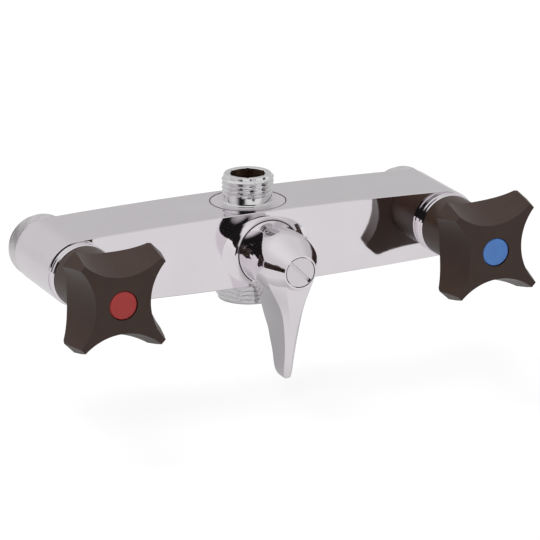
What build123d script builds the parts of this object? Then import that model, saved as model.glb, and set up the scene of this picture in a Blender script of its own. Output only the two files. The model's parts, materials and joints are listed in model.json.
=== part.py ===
from build123d import *
import os
from math import asin, atan2, cos, sin, sqrt

# Exposed two-handle bath mixer for a wall, with a lever diverter.
# Millimetres. X runs from the hot side to the cold side, Y runs into the wall, Z is up.
# The origin is midway between the two inlet axes, on the plane of the inlet ends.

# Body
INLET_CENTRES = 160.0
STUB_LENGTH = 9.0
BODY_DEPTH = 35.0
END_RADIUS = 13.5
MID_HALF_HEIGHT = 15.2
EDGE_ROUND = 0.3

# Pipe threads
G34_R = 13.22
G12_R = 10.4775
THREAD_PITCH = 1.814
THREAD_DEPTH = 1.16

# Waterways
INLET_BORE_R = 8.5
INLET_SPIGOT_R = 11.0
INLET_SPIGOT = 4.0
SEAT_BORE_R = 5.5
SEAT_WALL = 4.0
CHAMBER_R = 10.0
CHAMBER_DEPTH = 24.0
GALLERY_R = 4.5

# Clearances
RUN = 0.05
SLIP = 0.05
SEAM = 0.4

# Outlets
FLANGE_R = 15.4
FLANGE_THICKNESS = 2.0
NIPPLE_HEIGHT = 11.6
NECK_HEIGHT = 2.0
SHOWER_BORE_R = 7.0
SOCKET_FLATS = 13.0
SPIGOT_R = 8.3
SPIGOT_LENGTH = 2.5
GASKET_THICKNESS = 1.0
BATH_HEIGHT = 9.8
BATH_BORE_R = 9.5
BATH_SPIGOT_R = 11.4

# Headwork
BONNET_FLANGE_R = 12.9
BONNET_FLANGE = 3.9
BONNET_GROOVE = 0.5
BONNET_REACH = 11.0
GLAND_R = 8.0
GLAND_LENGTH = 6.5
GUIDE_R = 7.55
SEAL_WIDTH = 1.5
SPINDLE_R = 4.5
DRIVE_R = 4.0
DRIVE_END = 13.7
COLLAR_R = 6.5
COLLAR = 1.5
SQUARE = 6.3
VALVE_TRAVEL = 4.0
WASHER = 3.0
JUMPER_LENGTH = 13.5
KEY_WIDTH = 2.0
CIRCLIP = 1.0
CIRCLIP_R = 6.2
HANDLE_SCREW_R = 1.6
HANDLE_SCREW_LENGTH = 9.0
HANDLE_SCREW_HOLE = 12.0

# Handles
HANDLE_REACH = 44.5
ARM_DEPTH = 11.2
HEAD_DEPTH = 19.4
FRONT_HALF = 17.9
FRONT_CUT = 2.6
REAR_HALF = 20.1
REAR_CUT = 4.15
SCALLOP_FRONT = 11.3
SCALLOP_REAR = 14.8
SCALLOP_R = 24.0
SKIRT_R = 12.5
SKIRT_WALL = 1.8
SKIRT_DEPTH = 10.0
CAP_R = 5.8
CAP_RECESS = 5.0
CAP_SET_BACK = 0.4
HOT_TURN = 0.8
COLD_TURN = -2.4

# Diverter
DIVERTER_DROP = 1.0
BOSS_R = 13.2
BOSS_LENGTH = 3.0
FLARE_SIDE = 7.5
FLARE_UP = 1.2
PLUG_BORE_R = 9.5
PLUG_WALL = 6.0
PLUG_LENGTH = 22.7
STEM_R = 5.0
STEM_SQUARE = 7.0
LEVER_REACH = 32.5
LEVER_DROP = 47.6
LEVER_SET_BACK = 12.0
LEVER_SCREW_R = 5.9
LEVER_SCREW_HEAD = 3.8
LEVER_LIP = 0.95
LEVER_SLOT = 1.5
LEVER_BOLT_R = 2.4
LEVER_BOLT_LENGTH = 9.0
LEVER_BOLT_HOLE = 13.0

# Flare of the boss: share of its length, share of the spread
BOSS_FLARE = [(-0.10, 1.0), (0.06, 0.66), (0.20, 0.40), (0.45, 0.165), (1.0, 0.0)]

# Dome of the lever hub: share of the reach behind the front, share of the way out to the hub radius
LEVER_DOME = [(0.06, 0.145), (0.12, 0.30), (0.18, 0.46), (0.24, 0.61), (0.30, 0.75), (0.37, 0.86), (0.52, 0.94)]

# Arm of the lever: share of the drop, then in shares of the hub radius the half width of the front face,
# the half width, the depth of the bevel and how far the rear comes forward
LEVER_ARM = [
    (0.00, 0.470, 0.860, 0.700, 0.000),
    (0.14, 0.385, 0.735, 0.480, 0.000),
    (0.28, 0.277, 0.500, 0.321, 0.020),
    (0.39, 0.195, 0.350, 0.208, 0.050),
    (0.51, 0.139, 0.262, 0.132, 0.125),
    (0.62, 0.105, 0.210, 0.092, 0.310),
    (0.73, 0.082, 0.172, 0.060, 0.400),
    (0.85, 0.072, 0.148, 0.045, 0.530),
    (0.93, 0.068, 0.138, 0.040, 0.590),
    (0.975, 0.060, 0.120, 0.035, 0.690),
    (1.00, 0.045, 0.085, 0.030, 0.860),
]

# Stations along the depth
HALF = INLET_CENTRES / 2
Y_REAR = -STUB_LENGTH
Y_FACE = Y_REAR - BODY_DEPTH
Y_OUT = Y_REAR - BODY_DEPTH / 2
Y_SEAT = Y_FACE + CHAMBER_DEPTH
Y_RING = Y_FACE - BONNET_FLANGE
Y_GLAND = Y_RING - GLAND_LENGTH
Y_SHOULDER = Y_FACE + 1.0
Y_WASHER = Y_SEAT - 0.05
Y_JUMPER = Y_WASHER - WASHER
Y_JUMPER_END = Y_JUMPER - JUMPER_LENGTH
Y_DRIVE = Y_SHOULDER + RUN + DRIVE_END - 1.0
Y_KNOB = Y_FACE - HANDLE_REACH
Y_ARMS = Y_KNOB + ARM_DEPTH
Y_SKIRT = Y_RING - 0.5
Y_SPINDLE_TOP = Y_ARMS - 1.0
Z_DIV = -DIVERTER_DROP
Y_BOSS = Y_FACE - BOSS_LENGTH
Y_PLUG_BACK = Y_REAR - PLUG_WALL - 0.3
Y_PLUG = Y_PLUG_BACK - PLUG_LENGTH
Y_LEVER = Y_FACE - LEVER_REACH
Y_STEM_TOP = Y_LEVER + 7.0
Z_TOP = MID_HALF_HEIGHT - 0.1
Z_FLOOR = Z_TOP - FLANGE_THICKNESS

os.makedirs("parts", exist_ok=True)


def turned(points, x=0.0, z=0.0):
    """Solid of revolution about a line along Y; points are (radius, y)."""
    face = make_face(Polyline(*points, close=True))
    return Pos(x, 0, z) * revolve(face, axis=Axis.Y)


def upright(points):
    """Solid of revolution about the outlet axis; points are (radius, z)."""
    face = Plane.XZ * make_face(Polyline(*points, close=True))
    return Pos(0, Y_OUT, 0) * revolve(face, axis=Axis.Z)


def rod(radius, y0, y1, x=0.0, z=0.0):
    return turned([(0, y0), (radius, y0), (radius, y1), (0, y1)], x, z)


def tube(outer, inner, y0, y1, x=0.0, z=0.0):
    return turned([(inner, y0), (outer, y0), (outer, y1), (inner, y1)], x, z)


def post(radius, z0, z1):
    return upright([(0, z0), (radius, z0), (radius, z1), (0, z1)])


def collar(inner, outer, z0, z1):
    return upright([(inner, z0), (outer, z0), (outer, z1), (inner, z1)])


def ring_seal(outer, depth, y, x=0.0, z=0.0):
    """Rubber ring that rests in a groove of the given depth."""
    minor = depth / 2
    return Pos(x, y, z) * Rot(90, 0, 0) * Torus(outer - minor, minor)


def groove(outer, depth, y, width, x=0.0, z=0.0):
    return tube(outer + 1, outer - depth, y - width / 2, y + width / 2, x, z)


def square_bar(flats, y0, y1, x=0.0, z=0.0):
    return Pos(x, (y0 + y1) / 2, z) * Box(flats, abs(y1 - y0), flats)


def thread_points(radius, start, end):
    """Outline of thread rings with flat crests between two stations."""
    count = int(abs(end - start) / THREAD_PITCH + 1e-6)
    step = (end - start) / count
    points = []
    for i in range(count):
        s = start + i * step
        points += [(radius, s + 0.15 * step)]
        points += [(radius - THREAD_DEPTH, s + 0.5 * step)]
        points += [(radius, s + 0.85 * step)]
    return points


def face_xz(edges, y):
    return Pos(0, y, 0) * (Plane.XZ * make_face(edges))


def save(shape, name):
    export_step(shape, "parts/" + name + ".step")


# Outline of the body: two round ends joined by two long shallow arcs
def barrel():
    big = (HALF**2 + MID_HALF_HEIGHT**2 - END_RADIUS**2) / (2 * (MID_HALF_HEIGHT - END_RADIUS))
    span = big - END_RADIUS
    tx = HALF + END_RADIUS * HALF / span
    tz = END_RADIUS * (big - MID_HALF_HEIGHT) / span
    end = HALF + END_RADIUS
    return [
        ThreePointArc((-tx, tz), (0, MID_HALF_HEIGHT), (tx, tz)),
        ThreePointArc((tx, tz), (end, 0), (tx, -tz)),
        ThreePointArc((tx, -tz), (0, -MID_HALF_HEIGHT), (-tx, -tz)),
        ThreePointArc((-tx, -tz), (-end, 0), (-tx, tz)),
    ]


def make_body():
    prism = extrude(face_xz(barrel(), Y_REAR), BODY_DEPTH)
    faces = prism.faces().sort_by(Axis.Y)
    prism = fillet(faces[0].edges() + faces[-1].edges(), EDGE_ROUND)

    # Boss for the diverter: round in front, flared sideways into the face, trimmed by the body outline
    rings = []
    for out, spread in BOSS_FLARE:
        oval = Ellipse(BOSS_R + FLARE_SIDE * spread, BOSS_R + FLARE_UP * spread)
        rings.append(Pos(0, Y_FACE - out * BOSS_LENGTH, Z_DIV) * (Plane.XZ * oval))
    flare = loft(rings)
    body = prism + (flare & extrude(face_xz(barrel(), Y_FACE + 2), BOSS_LENGTH + 4))

    # Waterways of each side
    for x in (-HALF, HALF):
        body -= rod(INLET_SPIGOT_R + SLIP, 1, Y_REAR - INLET_SPIGOT - 0.1, x)
        body -= rod(INLET_BORE_R, 1, Y_SEAT + SEAT_WALL, x)
        body -= rod(SEAT_BORE_R, 1, Y_SEAT - 1, x)
        body -= rod(CHAMBER_R, Y_SEAT, Y_FACE - 1, x)
        body -= rod(CHAMBER_R + SEAL_WIDTH, Y_FACE + SEAL_WIDTH, Y_FACE - 1, x)
    body -= Pos(0, Y_OUT, Z_DIV) * Rot(0, 90, 0) * Cylinder(GALLERY_R, INLET_CENTRES)

    # Diverter chamber
    body -= rod(PLUG_BORE_R, Y_REAR - PLUG_WALL, Y_BOSS - 1, 0, Z_DIV)

    # Seats of the two outlets
    body -= post(FLANGE_R + SLIP, Z_FLOOR, MID_HALF_HEIGHT + 1)
    body -= post(FLANGE_R - 1.5, Z_FLOOR - GASKET_THICKNESS, Z_FLOOR + 1)
    body -= post(SPIGOT_R + SLIP, Z_FLOOR - SPIGOT_LENGTH - 0.1, Z_FLOOR)
    body -= post(SHOWER_BORE_R - 0.5, Z_DIV, Z_FLOOR)
    seat_low = -Z_TOP + SPIGOT_LENGTH + GASKET_THICKNESS
    body -= post(BATH_SPIGOT_R + SLIP, -MID_HALF_HEIGHT - 1, seat_low)
    body -= post(SHOWER_BORE_R - 0.5, -MID_HALF_HEIGHT, Z_DIV)
    return body


def make_inlet_nipple(x):
    points = [(INLET_BORE_R, Y_REAR - INLET_SPIGOT), (INLET_SPIGOT_R, Y_REAR - INLET_SPIGOT)]
    points += [(INLET_SPIGOT_R, Y_REAR), (G34_R, Y_REAR)]
    points += thread_points(G34_R, Y_REAR + 0.5, -0.9)
    points += [(G34_R, -0.8), (G34_R - 0.8, 0), (INLET_BORE_R, 0)]
    return turned(points, x)


def make_shower_nipple():
    z_end = Z_TOP + NIPPLE_HEIGHT
    z_neck = Z_TOP + NECK_HEIGHT
    neck_r = G12_R - THREAD_DEPTH - 0.2
    points = [(SHOWER_BORE_R, Z_FLOOR - SPIGOT_LENGTH), (SPIGOT_R, Z_FLOOR - SPIGOT_LENGTH)]
    points += [(SPIGOT_R, Z_FLOOR), (FLANGE_R, Z_FLOOR), (FLANGE_R, Z_TOP), (neck_r, Z_TOP)]
    points += [(neck_r, z_neck), (G12_R, z_neck)]
    points += thread_points(G12_R, z_neck + 0.2, z_end - 1.1)
    points += [(G12_R, z_end - 1.0), (G12_R - 1.0, z_end), (SHOWER_BORE_R, z_end)]
    socket = RegularPolygon(SOCKET_FLATS / sqrt(3), 6, rotation=30)
    socket = extrude(Pos(0, Y_OUT, Z_TOP) * socket, NIPPLE_HEIGHT + 1)
    return upright(points) - socket


def make_bath_nipple():
    z_end = -Z_TOP - BATH_HEIGHT
    points = [(BATH_BORE_R, -Z_TOP + SPIGOT_LENGTH), (BATH_SPIGOT_R, -Z_TOP + SPIGOT_LENGTH)]
    points += [(BATH_SPIGOT_R, -MID_HALF_HEIGHT), (G34_R, -MID_HALF_HEIGHT)]
    points += thread_points(G34_R, -Z_TOP - 0.5, z_end + 0.9)
    points += [(G34_R, z_end + 0.8), (G34_R - 0.8, z_end), (BATH_BORE_R, z_end)]
    return upright(points)


def make_bonnet(x):
    neck_r = CHAMBER_R - SLIP
    rear = Y_FACE + BONNET_REACH
    y_groove = Y_FACE - BONNET_FLANGE * 0.45
    bonnet = turned(
        [
            (GUIDE_R, rear),
            (neck_r, rear),
            (neck_r, Y_FACE),
            (BONNET_FLANGE_R, Y_FACE),
            (BONNET_FLANGE_R, y_groove + BONNET_GROOVE),
            (BONNET_FLANGE_R - BONNET_GROOVE, y_groove),
            (BONNET_FLANGE_R, y_groove - BONNET_GROOVE),
            (BONNET_FLANGE_R, Y_RING + 0.4),
            (BONNET_FLANGE_R - 0.4, Y_RING),
            (GLAND_R, Y_RING),
            (GLAND_R, Y_GLAND),
            (SPINDLE_R + RUN, Y_GLAND),
            (SPINDLE_R + RUN, Y_SHOULDER),
            (GUIDE_R, Y_SHOULDER),
        ],
        x,
    )
    slot = Pos(x, (rear + Y_SHOULDER) / 2, 0) * Box(
        KEY_WIDTH + 0.2, abs(rear - Y_SHOULDER), 2 * (GUIDE_R + 1.45)
    )
    return bonnet - slot


def make_spindle(x, turn):
    collar_back = Y_SHOULDER + RUN + COLLAR
    spindle = turned(
        [
            (0, Y_DRIVE),
            (DRIVE_R - 0.6, Y_DRIVE),
            (DRIVE_R, Y_DRIVE - 0.6),
            (DRIVE_R, collar_back),
            (COLLAR_R, collar_back),
            (COLLAR_R, Y_SHOULDER + RUN),
            (SPINDLE_R, Y_SHOULDER + RUN),
            (SPINDLE_R, Y_GLAND - 2.5),
            (0, Y_GLAND - 2.5),
        ],
        x,
    )
    square = Rot(0, turn, 0) * square_bar(SQUARE, Y_GLAND - 2.0, Y_SPINDLE_TOP)
    spindle += Pos(x, 0, 0) * square
    for y in ring_stations():
        spindle -= groove(SPINDLE_R, 1.0, y, 1.4, x)
    spindle -= groove(SPINDLE_R, 0.7, Y_GLAND - 0.2 - CIRCLIP / 2, CIRCLIP, x)
    spindle -= rod(HANDLE_SCREW_R, Y_SPINDLE_TOP - 1, Y_SPINDLE_TOP + HANDLE_SCREW_HOLE, x)
    return spindle


def ring_stations():
    return (Y_FACE - 2.5, Y_RING - 2.0)


def make_jumper(x):
    jumper = turned(
        [
            (0, Y_JUMPER),
            (GUIDE_R - RUN, Y_JUMPER),
            (GUIDE_R - RUN, Y_JUMPER_END),
            (DRIVE_R + RUN, Y_JUMPER_END),
            (DRIVE_R + RUN, Y_JUMPER - 3.0),
            (0, Y_JUMPER - 3.0),
        ],
        x,
    )
    length = Y_FACE + BONNET_REACH - 1.0 - Y_JUMPER_END
    key = Pos(x, Y_JUMPER_END + length / 2, 0) * Box(KEY_WIDTH, length, 2 * (GUIDE_R + 1.2))
    key -= rod(GUIDE_R - 1.0, Y_JUMPER, Y_JUMPER_END - 1, x)
    return jumper + key - rod(1.6, Y_JUMPER + 1, Y_JUMPER - 2.6, x)


def make_washer(x):
    return tube(GUIDE_R - 0.4, 1.7, Y_WASHER, Y_JUMPER, x)


def make_washer_screw(x):
    screw = rod(3.2, Y_WASHER, Y_WASHER + 2.0, x) + rod(1.6, Y_WASHER, Y_JUMPER - 2.6, x)
    return screw - Pos(x, Y_WASHER + 2.0, 0) * Box(8, 2.0, 0.8)


def chamfered_square(half, cut, y):
    a = half - cut
    points = [(half, -a), (half, a), (a, half), (-a, half), (-half, a), (-half, -a), (-a, -half), (a, -half)]
    return face_xz(Polyline(*points, close=True), y)


def make_handle(x, turn):
    stretch = HEAD_DEPTH / ARM_DEPTH
    y_neck = Y_KNOB + HEAD_DEPTH
    rear_half = FRONT_HALF + (REAR_HALF - FRONT_HALF) * stretch
    rear_cut = FRONT_CUT + (REAR_CUT - FRONT_CUT) * stretch
    rear = chamfered_square(rear_half, rear_cut, y_neck)
    front = chamfered_square(FRONT_HALF, FRONT_CUT, Y_KNOB)
    head = loft([rear, front], ruled=True)

    # The back of the head is a cone from the tips of the arms down to the skirt
    tip = sqrt(REAR_HALF**2 + (REAR_HALF - REAR_CUT) ** 2)
    slope = (HEAD_DEPTH - ARM_DEPTH) / (tip - SKIRT_R)
    wide = tip + ARM_DEPTH / 2
    y_wide = Y_ARMS - slope * ARM_DEPTH / 2
    head &= turned([(0, Y_KNOB - 1), (wide, Y_KNOB - 1), (wide, y_wide), (SKIRT_R, y_neck), (0, y_neck)])
    inner = SKIRT_R - SKIRT_WALL
    y_floor = Y_SKIRT - SKIRT_DEPTH
    skirt = [(0, y_neck - 1), (SKIRT_R, y_neck - 1), (SKIRT_R, Y_SKIRT), (inner, Y_SKIRT), (inner, y_floor)]
    handle = head + turned(skirt + [(0, y_floor)])

    # Four finger scoops that open towards the front
    tilt = atan2(SCALLOP_REAR - SCALLOP_FRONT, ARM_DEPTH)
    centre = (
        SCALLOP_FRONT + SCALLOP_R * cos(tilt),
        Y_KNOB - SCALLOP_R * sin(tilt),
        0,
    )
    scoop = Plane(centre, x_dir=(0, 0, 1), z_dir=(sin(tilt), cos(tilt), 0)) * Cylinder(SCALLOP_R, 4 * SCALLOP_R)
    for i in range(4):
        handle -= Rot(0, 90 * i, 0) * scoop

    # Seats of the index cap, the screw and the spindle
    handle -= rod(CAP_R + 0.1, Y_KNOB - 1, Y_KNOB + CAP_RECESS)
    handle -= rod(3.7, Y_KNOB, Y_KNOB + CAP_RECESS + 2.5)
    handle -= rod(2.1, Y_KNOB, Y_SPINDLE_TOP + 1)
    handle -= square_bar(SQUARE + 2 * SLIP, y_floor + 1, Y_SPINDLE_TOP - 0.5)
    return Pos(x, 0, 0) * Rot(0, turn, 0) * handle


def make_handle_screw(x):
    seat = Y_KNOB + CAP_RECESS + 2.5
    screw = rod(3.5, seat, seat - 2.3, x)
    screw += rod(HANDLE_SCREW_R, seat - 1, Y_SPINDLE_TOP + HANDLE_SCREW_LENGTH, x)
    return screw - Pos(x, seat - 2.3, 0) * Box(8, 2.0, 0.9)


def make_cap(x):
    front = Y_KNOB + CAP_SET_BACK
    back = Y_KNOB + CAP_RECESS
    points = [(0, front), (CAP_R - 0.4, front), (CAP_R, front + 0.4), (CAP_R, back)]
    points += [(CAP_R - 1.2, back), (CAP_R - 1.2, front + 1.6), (0, front + 1.6)]
    return turned(points, x)


def make_plug():
    r = PLUG_BORE_R - RUN
    plug = turned(
        [
            (0, Y_PLUG_BACK),
            (r, Y_PLUG_BACK),
            (r, Y_PLUG),
            (STEM_R, Y_PLUG),
            (STEM_R, Y_BOSS - 2.5),
            (0, Y_BOSS - 2.5),
        ],
        0,
        Z_DIV,
    )
    plug += square_bar(STEM_SQUARE, Y_BOSS - 2.0, Y_STEM_TOP, 0, Z_DIV)
    plug -= Pos(0, Y_OUT, Z_DIV) * Rot(0, 90, 0) * Cylinder(GALLERY_R, 4 * PLUG_BORE_R)
    plug -= post(SHOWER_BORE_R - 1.0, Z_DIV - 2 * PLUG_BORE_R, Z_DIV)
    for y in plug_stations():
        plug -= groove(r, 1.5, y, 1.8, 0, Z_DIV)
    plug -= groove(STEM_R, 1.0, stem_station(), 1.4, 0, Z_DIV)
    return plug - rod(LEVER_BOLT_R, Y_STEM_TOP - 1, Y_STEM_TOP + LEVER_BOLT_HOLE, 0, Z_DIV)


def plug_stations():
    return (Y_PLUG_BACK - 2.2, Y_PLUG + 2.2)


def stem_station():
    return Y_BOSS + 6.0


def make_bush():
    return tube(PLUG_BORE_R - SLIP, STEM_R + RUN, Y_PLUG - 0.2, Y_BOSS, 0, Z_DIV)


def make_lever():
    rear = Y_BOSS - SEAM
    reach = rear - Y_LEVER
    lip = LEVER_SCREW_R + LEVER_LIP

    # Hub: a long dome about the diverter axis
    dome = [(lip, Y_LEVER)]
    dome += [(lip + (BOSS_R - lip) * out, Y_LEVER + reach * back) for back, out in LEVER_DOME]
    dome += [(BOSS_R, rear)]
    hub_edges = [Line((0, rear), (0, Y_LEVER)), Line((0, Y_LEVER), (lip, Y_LEVER)), Spline(*dome)]
    hub_edges += [Line((BOSS_R, rear), (0, rear))]
    hub = Pos(0, 0, Z_DIV) * revolve(make_face(hub_edges), axis=Axis.Y)

    # Arm: a blade with two bevels, hollowed towards the tip
    sections = []
    for share, face_half, half, bevel, forward in LEVER_ARM:
        a, w = face_half * BOSS_R, half * BOSS_R
        front = Y_LEVER + 0.4 + LEVER_SET_BACK * share
        side = front + bevel * BOSS_R
        back = rear - forward * BOSS_R
        points = [(-w, back), (-w, side), (-a, front), (a, front), (w, side), (w, back)]
        outline = make_face(Polyline(*points, close=True))
        sections.append(Pos(0, 0, Z_DIV - share * LEVER_DROP) * outline)
    lever = hub + loft(sections)

    lever -= rod(STEM_R + 0.2, rear + 1, rear - 2.2, 0, Z_DIV)
    lever -= square_bar(STEM_SQUARE + 2 * SLIP, rear - 1, Y_STEM_TOP - 0.4, 0, Z_DIV)
    lever -= rod(LEVER_BOLT_R + 0.2, rear, Y_LEVER, 0, Z_DIV)
    lever -= rod(LEVER_SCREW_R + 0.35, Y_LEVER + LEVER_SCREW_HEAD, Y_LEVER - 1, 0, Z_DIV)
    return lever


def make_lever_screw():
    seat = Y_LEVER + LEVER_SCREW_HEAD
    head = rod(LEVER_SCREW_R, seat, Y_LEVER + 0.1, 0, Z_DIV)
    head += rod(LEVER_BOLT_R, seat - 1, Y_STEM_TOP + LEVER_BOLT_LENGTH, 0, Z_DIV)
    slot = Rot(0, 45, 0) * Box(3 * LEVER_SCREW_R, 2 * LEVER_SLOT, LEVER_SLOT)
    return head - Pos(0, Y_LEVER + 0.1, Z_DIV) * slot


# Fixed pieces
save(make_body(), "body_casting")
save(make_shower_nipple(), "shower_nipple")
gasket_low = Z_FLOOR - GASKET_THICKNESS
save(collar(SPIGOT_R + SLIP, FLANGE_R - 1.6, gasket_low, Z_FLOOR), "shower_gasket")
save(make_bath_nipple(), "bath_nipple")
bath_low = -Z_TOP + SPIGOT_LENGTH
save(collar(BATH_BORE_R, BATH_SPIGOT_R, bath_low, bath_low + GASKET_THICKNESS), "bath_gasket")
save(make_bush(), "diverter_bush")

# Diverter
save(make_plug(), "diverter_plug")
for name, y in zip(("diverter_ring_rear", "diverter_ring_front"), plug_stations()):
    save(ring_seal(PLUG_BORE_R - RUN, 1.5, y, 0, Z_DIV), name)
save(ring_seal(STEM_R, 1.0, stem_station(), 0, Z_DIV), "diverter_stem_ring")
save(make_lever(), "lever")
save(make_lever_screw(), "lever_screw")

# Headwork and handle of each side
for side, x, turn in (("hot", -HALF, HOT_TURN), ("cold", HALF, COLD_TURN)):
    save(make_inlet_nipple(x), side + "_inlet_nipple")
    save(make_bonnet(x), side + "_bonnet")
    save(tube(CHAMBER_R + SEAL_WIDTH - 0.1, CHAMBER_R, Y_FACE + SEAL_WIDTH, Y_FACE, x), side + "_bonnet_seal")
    save(make_spindle(x, turn), side + "_spindle")
    for name, y in zip(("_spindle_ring_rear", "_spindle_ring_front"), ring_stations()):
        save(ring_seal(SPINDLE_R, 1.0, y, x), side + name)
    save(tube(CIRCLIP_R, SPINDLE_R - 0.7, Y_GLAND - 0.2, Y_GLAND - 0.2 - CIRCLIP, x), side + "_circlip")
    save(make_jumper(x), side + "_jumper")
    save(make_washer(x), side + "_valve_washer")
    save(make_washer_screw(x), side + "_washer_screw")
    save(make_handle(x, turn), side + "_handle")
    save(make_handle_screw(x), side + "_handle_screw")
    save(make_cap(x), side + "_index_cap")
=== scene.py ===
import json
import math
import bmesh
import bpy
from mathutils import Matrix, Vector


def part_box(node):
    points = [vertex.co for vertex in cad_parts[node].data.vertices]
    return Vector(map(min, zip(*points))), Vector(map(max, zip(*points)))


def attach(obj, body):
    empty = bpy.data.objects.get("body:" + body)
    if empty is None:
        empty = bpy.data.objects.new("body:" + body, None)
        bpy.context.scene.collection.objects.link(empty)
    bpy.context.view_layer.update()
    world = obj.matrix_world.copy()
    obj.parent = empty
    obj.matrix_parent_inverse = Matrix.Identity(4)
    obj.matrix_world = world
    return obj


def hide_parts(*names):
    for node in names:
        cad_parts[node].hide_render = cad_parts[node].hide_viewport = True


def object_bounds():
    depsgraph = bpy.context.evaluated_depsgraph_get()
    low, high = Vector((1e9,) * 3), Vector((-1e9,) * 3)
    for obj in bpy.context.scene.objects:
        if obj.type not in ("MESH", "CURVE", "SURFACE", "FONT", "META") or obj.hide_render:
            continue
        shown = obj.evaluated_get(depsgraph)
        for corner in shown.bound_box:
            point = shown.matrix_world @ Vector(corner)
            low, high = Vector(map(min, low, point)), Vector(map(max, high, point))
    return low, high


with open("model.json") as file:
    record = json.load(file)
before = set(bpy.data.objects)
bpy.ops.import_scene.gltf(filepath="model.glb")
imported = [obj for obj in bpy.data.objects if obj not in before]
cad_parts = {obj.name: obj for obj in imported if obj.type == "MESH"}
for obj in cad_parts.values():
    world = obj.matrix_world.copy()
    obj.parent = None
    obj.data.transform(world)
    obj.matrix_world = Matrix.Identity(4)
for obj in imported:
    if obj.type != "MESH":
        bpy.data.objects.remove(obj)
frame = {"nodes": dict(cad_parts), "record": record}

cad_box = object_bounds()
scene = bpy.context.scene
nodes = frame["nodes"]
MM = 0.001


# Shader helpers
def new_material(name):
    m = bpy.data.materials.new(name)
    m.use_nodes = True
    tree = m.node_tree
    return m, tree, tree.nodes["Principled BSDF"]


def add(tree, kind, **values):
    """A new node; each value goes to the input of that name, or else to the property."""
    n = tree.nodes.new(kind)
    for key, value in values.items():
        if key in n.inputs:
            n.inputs[key].default_value = value
        else:
            setattr(n, key, value)
    return n


def feed(tree, value, socket):
    """Links an output to the socket, or sets a constant on it."""
    if isinstance(value, bpy.types.NodeSocket):
        tree.links.new(value, socket)
    else:
        socket.default_value = value


def calculate(tree, operation, first, second):
    n = add(tree, "ShaderNodeMath", operation=operation)
    feed(tree, first, n.inputs[0])
    feed(tree, second, n.inputs[1])
    return n.outputs[0]


def blend(tree, factor, first, second, blend_type="MIX"):
    n = add(tree, "ShaderNodeMix", data_type="RGBA", blend_type=blend_type)
    feed(tree, factor, n.inputs[0])
    feed(tree, first, n.inputs[6])
    feed(tree, second, n.inputs[7])
    return n.outputs[2]


def from_minus_one(tree, source):
    """Maps -1..1 to 0..1."""
    n = add(tree, "ShaderNodeMapRange")
    n.inputs["From Min"].default_value = -1.0
    n.inputs["From Max"].default_value = 1.0
    tree.links.new(source, n.inputs["Value"])
    return n.outputs[0]


def ramp(tree, source, stops):
    """Colour ramp; a stop is (position, colour) or (position, grey level)."""
    r = tree.nodes.new("ShaderNodeValToRGB")
    while len(r.color_ramp.elements) < len(stops):
        r.color_ramp.elements.new(0.5)
    for e, (position, value) in zip(r.color_ramp.elements, stops):
        e.position = position
        e.color = (*value, 1.0) if isinstance(value, tuple) else (value, value, value, 1.0)
    tree.links.new(source, r.inputs[0])
    return r.outputs[0]


# Materials
DRIFT_LOW, DRIFT_HIGH = 0.3, 0.7
RELIEF_DEPTH = 0.0002


def surface(name, dark, light, rough, grain, relief, relief_grain, metallic=0.0, specular=0.5):
    """A material whose colour and roughness drift a little, with a fine relief."""
    m, tree, bsdf = new_material(name)
    coord = add(tree, "ShaderNodeTexCoord").outputs["Object"]
    drift = add(tree, "ShaderNodeTexNoise", Scale=grain, Detail=4.0)
    tree.links.new(coord, drift.inputs["Vector"])
    for socket, low, high in (("Base Color", dark, light), ("Roughness", *rough)):
        stops = [(DRIFT_LOW, low), (DRIFT_HIGH, high)]
        tree.links.new(ramp(tree, drift.outputs["Fac"], stops), bsdf.inputs[socket])
    bsdf.inputs["Metallic"].default_value = metallic
    bsdf.inputs["Specular IOR Level"].default_value = specular
    fine = add(tree, "ShaderNodeTexNoise", Scale=relief_grain, Detail=3.0)
    tree.links.new(coord, fine.inputs["Vector"])
    bump = add(tree, "ShaderNodeBump", Strength=relief, Distance=RELIEF_DEPTH)
    tree.links.new(fine.outputs["Fac"], bump.inputs["Height"])
    tree.links.new(bump.outputs[0], bsdf.inputs["Normal"])
    return m


PLATED = dict(grain=60.0, relief=0.02, relief_grain=250.0, metallic=1.0)
MACHINED = dict(grain=300.0, relief=0.1, relief_grain=2000.0, metallic=1.0)
ENAMEL = dict(grain=200.0, relief=0.05, relief_grain=1500.0)
CHROME_DARK, CHROME_LIGHT = (0.805, 0.763, 0.798), (0.835, 0.793, 0.828)

chrome = surface("chrome", CHROME_DARK, CHROME_LIGHT, (0.03, 0.06), **PLATED)
brass = surface("brass", (0.55, 0.40, 0.17), (0.66, 0.50, 0.24), (0.2, 0.35), **MACHINED)
satin = surface("satin_chrome", CHROME_DARK, CHROME_LIGHT, (0.34, 0.42), **PLATED)
turned = surface("turned_chrome", (0.79, 0.78, 0.79), (0.83, 0.82, 0.83), (0.06, 0.12), **PLATED)
matte = surface("matte_chrome", (0.82, 0.79, 0.81), (0.86, 0.83, 0.85), (0.42, 0.50), **PLATED)
bore = surface("dull_bore", (0.24, 0.16, 0.12), (0.33, 0.22, 0.165), (0.35, 0.5), **MACHINED)
steel = surface("steel", (0.5, 0.5, 0.51), (0.6, 0.6, 0.61), (0.2, 0.35), **MACHINED)
rubber = surface("rubber", (0.015, 0.015, 0.015), (0.03, 0.03, 0.03), (0.6, 0.8),
                 grain=400.0, relief=0.2, relief_grain=1500.0)
plastic = surface("handle_plastic", (0.028, 0.0152, 0.0108), (0.033, 0.0184, 0.0136), (0.34, 0.42),
                  grain=90.0, relief=0.12, relief_grain=2600.0, specular=0.25)
red = surface("index_red", (0.245, 0.018, 0.016), (0.28, 0.022, 0.0195), (0.28, 0.36),
              specular=0.35, **ENAMEL)
blue = surface("index_blue", (0.035, 0.122, 0.345), (0.043, 0.142, 0.39), (0.28, 0.36), **ENAMEL)
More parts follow.
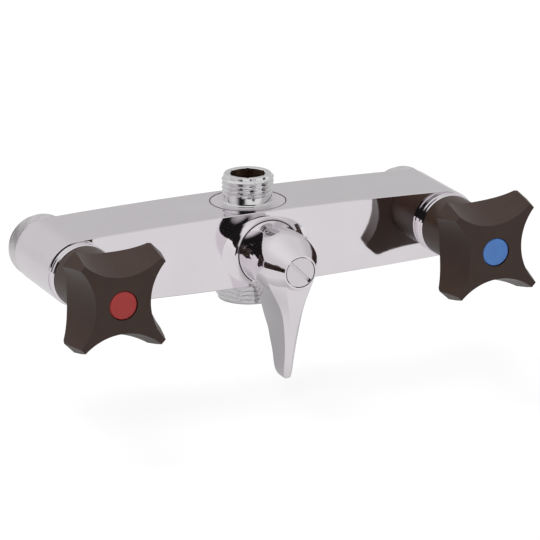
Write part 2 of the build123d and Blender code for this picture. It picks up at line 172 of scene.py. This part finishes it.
by_slot = {
    "chrome": chrome,
    "brass": brass,
    "steel": steel,
    "rubber": rubber,
    "handle_plastic": plastic,
    "index_red": red,
    "index_blue": blue,
}

for part in frame["record"]["subparts"]:
    o = nodes[part["node"]]
    o.data.materials.clear()
    o.data.materials.append(by_slot[part["material_slot"]])
nodes["lever_screw"].data.materials[0] = satin


# Small rounded edges on the moulded pieces
HANDLE_EDGE = 0.6
CAP_EDGE = 0.15
EDGE_ANGLE = math.radians(35)


def soften(name, width):
    m = nodes[name].modifiers.new("edges", "BEVEL")
    m.width = width * MM
    m.segments = 3
    m.limit_method = "ANGLE"
    m.angle_limit = EDGE_ANGLE
    m.harden_normals = True
    m.use_clamp_overlap = True


for side in ("hot", "cold"):
    soften(side + "_handle", HANDLE_EDGE)
    soften(side + "_index_cap", CAP_EDGE)


# Turned pieces; lengths in mm
COLUMNS = 144
SPLIT_ANGLE = math.radians(32)


def lathe(name, rings, origin, axis, finish):
    """Closed ring of quads; each ring is (radius or function of angle, height along the axis)."""
    bm = bmesh.new()
    rows = []
    for radius, h in rings:
        row = []
        for i in range(COLUMNS):
            t = 2 * math.pi * i / COLUMNS
            r = radius(t) if callable(radius) else radius
            if axis == "z":
                p = (r * math.cos(t), r * math.sin(t), h)
            else:
                p = (r * math.cos(t), h, r * math.sin(t))
            row.append(bm.verts.new([(a + b) * MM for a, b in zip(p, origin)]))
        rows.append(row)
    for a, b in zip(rows, rows[1:] + rows[:1]):
        for i in range(COLUMNS):
            j = (i + 1) % COLUMNS
            bm.faces.new((a[i], a[j], b[j], b[i]))
    bmesh.ops.recalc_face_normals(bm, faces=bm.faces)
    mesh = bpy.data.meshes.new(name)
    bm.to_mesh(mesh)
    bm.free()
    for p in mesh.polygons:
        p.use_smooth = True
    o = bpy.data.objects.new(name, mesh)
    scene.collection.objects.link(o)
    mesh.materials.append(finish)
    m = o.modifiers.new("smooth", "EDGE_SPLIT")
    m.split_angle = SPLIT_ANGLE
    return o


PITCH = 1.814
DEPTH = 1.16
ROOT_SHARE = 0.12
FLANK_SHARE = 0.76
RING_STEP = 0.13


def helix(crest, h0, h1, sense=1.0):
    """Rings of a right-hand pipe thread between two heights."""
    rings = []
    count = max(2, int(abs(h1 - h0) / RING_STEP))
    for k in range(count + 1):
        h = h0 + (h1 - h0) * k / count

        def radius(t, h=h):
            phase = (h / PITCH - sense * t / (2 * math.pi)) % 1.0
            tooth = (abs(2 * phase - 1) - ROOT_SHARE) / FLANK_SHARE
            return crest - DEPTH * (1 - min(1.0, max(0.0, tooth)))

        rings.append((radius, h))
    return rings


def band(inner, outer, h0, h1):
    return [(inner, h0), (outer, h0), (outer, h1), (inner, h1)]


R34 = 13.22
R12 = 10.4775


def pipe_end(bore_r, spigot_r, start, shoulder, end, sense=1.0):
    """Spigot up to the shoulder, then three-quarter-inch thread up to the end."""
    inward = 1.0 if shoulder > end else -1.0
    rings = [(bore_r, start), (spigot_r, start), (spigot_r, shoulder), (R34, shoulder)]
    rings += helix(R34, shoulder - 0.3 * inward, end + 0.9 * inward, sense)
    rings += [(R34 - 0.85, end + 0.05 * inward), (R34 - 1.0, end)]
    rings += [(bore_r + 0.2, end), (bore_r, end + 0.2 * inward)]
    return rings


# Shower nipple: spigot, flange, neck, half-inch thread, bore with notches for a key
SHOWER_BORE_R = 7.0
SHOWER_SPIGOT_R = 8.3
FLANGE_R = 15.2
FLANGE_THICKNESS = 2.0
FLANGE_BELOW_BODY = 0.1
NECK_R = R12 - 0.72
NECK_FILLET = [(0.9, 0.0), (0.4, 0.15), (0.1, 0.5), (0.0, 1.0)]
NECK_END = 3.3
THREAD_START = 3.5
THREAD_RUNOUT = 1.0
NOTCH_TURN = math.radians(5.5)
NOTCH_DEPTH = 0.85
NOTCH_HALF_ANGLE = 0.14
RIM_CHAMFER = 0.25
DULL_R = 7.9
DULL_BELOW_TOP = 0.3
SEAM_WIDTH = 0.32
SEAM_DEPTH = 0.6
SEAM_PROUD = 0.12

lo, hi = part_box("shower_nipple")
y_out = (lo.y + hi.y) / 2 / MM
foot = lo.z / MM
top = hi.z / MM
body_lo, body_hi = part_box("body_casting")
flange_top = body_hi.z / MM - FLANGE_BELOW_BODY
shoulder = body_lo.z / MM


def notched(t):
    off = (t - NOTCH_TURN + math.pi / 6) % (math.pi / 3) - math.pi / 6
    return SHOWER_BORE_R + NOTCH_DEPTH * max(0.0, 1 - abs(off) / NOTCH_HALF_ANGLE)


def notched_rim(t):
    return notched(t) + RIM_CHAMFER


rings = [(SHOWER_BORE_R, foot), (SHOWER_SPIGOT_R, foot)]
rings += [(SHOWER_SPIGOT_R, flange_top - FLANGE_THICKNESS), (FLANGE_R, flange_top - FLANGE_THICKNESS)]
rings += [(FLANGE_R, flange_top - 0.15), (FLANGE_R - 0.1, flange_top)]
rings += [(NECK_R + out, flange_top + up) for out, up in NECK_FILLET]
rings += [(NECK_R, flange_top + NECK_END)]
rings += helix(R12, flange_top + THREAD_START, top - THREAD_RUNOUT)
rings += [(R12 - 1.0, top - 0.1), (R12 - 1.15, top)]
rings += [(notched_rim, top), (notched, top - RIM_CHAMFER), (notched, flange_top)]
rings += [(SHOWER_BORE_R, flange_top)]
shower = lathe("shower_nipple_threaded", rings, (0, y_out, 0), "z", turned)
shower.data.materials.append(bore)
shower.data.materials.append(satin)
for p in shower.data.polygons:
    from_axis = math.hypot(p.center.x, p.center.y - y_out * MM)
    if from_axis < DULL_R * MM and p.center.z < (top - DULL_BELOW_TOP) * MM:
        p.material_index = 1
    elif p.center.z < flange_top * MM + 1e-6 and p.normal.z > 0.5:
        p.material_index = 2
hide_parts("shower_nipple")
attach(shower, "mixer_body")

# Dark joint ring around the flange; its black is also painted shade in the gap where the flange meets
# the body
rings = band(FLANGE_R, FLANGE_R + SEAM_WIDTH, flange_top - SEAM_DEPTH, flange_top + SEAM_PROUD)
joint_shade = lathe("flange_joint_shade", rings, (0, y_out, 0), "z", rubber)
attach(joint_shade, "mixer_body")

# Bath nipple and inlet nipples
BATH_BORE_R = 9.5
BATH_SPIGOT_R = 11.4
INLET_BORE_R = 8.5
INLET_SPIGOT_R = 11.0
INLET_X = 80.0
BODY_REAR = -9.0
INLET_END = 0.0

lo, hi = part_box("bath_nipple")
rings = pipe_end(BATH_BORE_R, BATH_SPIGOT_R, hi.z / MM, shoulder, lo.z / MM)
bath = lathe("bath_nipple_threaded", rings, (0, y_out, 0), "z", turned)
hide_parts("bath_nipple")
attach(bath, "mixer_body")

for side, x in (("hot", -INLET_X), ("cold", INLET_X)):
    lo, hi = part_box(side + "_inlet_nipple")
    rings = pipe_end(INLET_BORE_R, INLET_SPIGOT_R, lo.y / MM, BODY_REAR, INLET_END, -1.0)
    o = lathe(side + "_inlet_threaded", rings, (x, 0, 0), "y", matte)
    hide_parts(side + "_inlet_nipple")
    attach(o, "mixer_body")

# Dark joint ring behind the lever; its black is also painted shade in the gap between the lever and
# the body
HUB_R = 13.2
JOINT_INSIDE = 0.4
JOINT_PROUD = 0.28
JOINT_FROM, JOINT_TO = 0.02, 0.45

lo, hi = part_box("lever_screw")
z_div = (lo.z + hi.z) / 2 / MM
lo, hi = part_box("lever")
lever_rear = hi.y / MM
# Black ring in the gap behind the lever hub: painted shade there
rings = band(HUB_R - JOINT_INSIDE, HUB_R + JOINT_PROUD, lever_rear + JOINT_FROM, lever_rear + JOINT_TO)
joint_shade = lathe("lever_joint_shade", rings, (0, 0, z_div), "y", rubber)
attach(joint_shade, "mixer_body")


# Stage: pale floor
FLOOR_HALF = 4.0
FLOOR_GAP = 0.012
FLOOR_WHITE_SHARE = 0.87
# Half sizes in m of the painted shadow pool under the object, seen only in the metal
SHADOW_POOL_X, SHADOW_POOL_Y = 0.11, 0.085

bm = bmesh.new()
bmesh.ops.create_grid(bm, x_segments=1, y_segments=1, size=FLOOR_HALF)
mesh = bpy.data.meshes.new("floor")
bm.to_mesh(mesh)
bm.free()
floor = bpy.data.objects.new("floor", mesh)
floor.location.z = cad_box[0].z - FLOOR_GAP
scene.collection.objects.link(floor)
m, tree, bsdf = new_material("floor")
bsdf.inputs["Base Color"].default_value = (0.9, 0.9, 0.9, 1)
bsdf.inputs["Roughness"].default_value = 0.9
path = add(tree, "ShaderNodeLightPath")

# Painted shade seen only in the metal: glossy rays see the table darker behind the object and a
# painted shadow pool under it, the camera sees it white
spot = add(tree, "ShaderNodeTexCoord").outputs["Object"]
place = add(tree, "ShaderNodeSeparateXYZ")
tree.links.new(spot, place.inputs[0])
# Painted shade: the table seen in the metal gets darker towards the back of the object
shade_behind = ramp(tree, from_minus_one(tree, place.outputs["Y"]),
            [(0.0, 0.88), (0.40, 0.80), (0.46, 0.78), (0.55, 0.72), (0.8, 0.67)])
# Painted shadow: a round pool under the object, darkest at its centre, seen only in the metal
shadow_place = add(tree, "ShaderNodeMapping")
shadow_place.inputs["Scale"].default_value = (1 / SHADOW_POOL_X, 1 / SHADOW_POOL_Y, 0.0)
tree.links.new(spot, shadow_place.inputs["Vector"])
shadow_pool = add(tree, "ShaderNodeTexGradient", gradient_type="SPHERICAL")
tree.links.new(shadow_place.outputs[0], shadow_pool.inputs["Vector"])
shadow_under = ramp(tree, shadow_pool.outputs["Fac"], [(0.0, 1.0), (0.35, 0.72), (0.9, 0.50)])
shade = blend(tree, 1.0, shade_behind, shadow_under, "MULTIPLY")
# The glowing floor carries the painted shade to glossy rays and plain white to the camera
reflected_shade = blend(tree, path.outputs["Is Glossy Ray"], (1, 1, 1, 1), shade)
shade_glow = add(tree, "ShaderNodeEmission", Strength=1.0)
tree.links.new(reflected_shade, shade_glow.inputs["Color"])
seen = calculate(tree, "MULTIPLY", path.outputs["Is Camera Ray"], FLOOR_WHITE_SHARE)
share = calculate(tree, "MAXIMUM", seen, path.outputs["Is Glossy Ray"])
mix = add(tree, "ShaderNodeMixShader")
tree.links.new(share, mix.inputs[0])
tree.links.new(bsdf.outputs[0], mix.inputs[1])
tree.links.new(shade_glow.outputs[0], mix.inputs[2])
tree.links.new(mix.outputs[0], tree.nodes["Material Output"].inputs["Surface"])
floor.data.materials.append(m)

# Stage: studio world, brighter overhead and a little darker to the right
world = bpy.data.worlds.new("studio")
scene.world = world
world.use_nodes = True
tree = world.node_tree
tree.nodes.clear()
split = add(tree, "ShaderNodeSeparateXYZ")
tree.links.new(add(tree, "ShaderNodeTexCoord").outputs["Generated"], split.inputs[0])
height = split.outputs["Z"]
across = from_minus_one(tree, split.outputs["X"])
lift = ramp(tree, height, [(0.0, 0.66), (0.12, 0.67), (0.40, 0.70), (0.75, 0.86), (1.0, 0.85)])
sideways = ramp(tree, across, [(0.3, 1.0), (0.7, 0.84)])
studio = blend(tree, 1.0, lift, sideways, "MULTIPLY")

# The room behind the camera, and left of it, is dark below the overhead light
ahead = calculate(tree, "MULTIPLY", split.outputs["Y"], -1.0)
front_part = ramp(tree, ahead, [(0.15, 0.0), (0.45, 1.0)])
left_part = ramp(tree, across, [(0.56, 1.0), (0.66, 0.0)])
low_part = ramp(tree, height, [(0.45, 1.0), (0.62, 0.0)])
corner = calculate(tree, "MULTIPLY", front_part, left_part)
dark = calculate(tree, "MULTIPLY", corner, low_part)
room = blend(tree, dark, studio, (0.012, 0.011, 0.011, 1))

# The camera sees the world white
path = add(tree, "ShaderNodeLightPath")
sky = blend(tree, path.outputs["Is Camera Ray"], room, (1, 1, 1, 1))
background = add(tree, "ShaderNodeBackground", Strength=1.0)
tree.links.new(sky, background.inputs["Color"])
world_output = add(tree, "ShaderNodeOutputWorld")
tree.links.new(background.outputs[0], world_output.inputs["Surface"])

# Lamps, not seen in the metal: name, place in m, watts
LAMPS = [
    ("key", (-0.9, -1.2, 1.4), 16),
    ("fill", (1.3, -1.0, 0.9), 7),
    ("back", (-0.4, 0.6, 1.6), 22),
]
LAMP_SIZE = 0.9
AIM = Vector((0, -0.045, 0))

for name, place, watts in LAMPS:
    data = bpy.data.lights.new(name, "AREA")
    data.energy = watts
    data.size = LAMP_SIZE
    o = bpy.data.objects.new(name, data)
    scene.collection.objects.link(o)
    o.location = place
    o.rotation_euler = (AIM - Vector(place)).to_track_quat("-Z", "Y").to_euler()
    o.visible_glossy = False


# Camera, fitted to the photograph
AZ, EL, ROLL = math.radians(24.5186), math.radians(17.535), math.radians(-0.2708)
EYE = Vector((-642.25, -1455.72, 480.85)) * MM
FOCAL_PX = 4074.6
IMAGE_PX = 540.0
SENSOR = 36.0

forward = Vector((math.sin(AZ) * math.cos(EL), math.cos(AZ) * math.cos(EL), -math.sin(EL)))
level = Vector((math.cos(AZ), -math.sin(AZ), 0.0))
upright = level.cross(forward)
right = level * math.cos(ROLL) + upright * math.sin(ROLL)
up = upright * math.cos(ROLL) - level * math.sin(ROLL)
cam = bpy.data.cameras.new("camera")
cam.sensor_width = SENSOR
cam.lens = FOCAL_PX * SENSOR / IMAGE_PX
cam.clip_end = 50.0
camera = bpy.data.objects.new("camera", cam)
scene.collection.objects.link(camera)
camera.matrix_world = Matrix((
    (right.x, up.x, -forward.x, EYE.x),
    (right.y, up.y, -forward.y, EYE.y),
    (right.z, up.z, -forward.z, EYE.z),
    (0, 0, 0, 1),
))
scene.camera = camera
scene.view_settings.view_transform = "Standard"
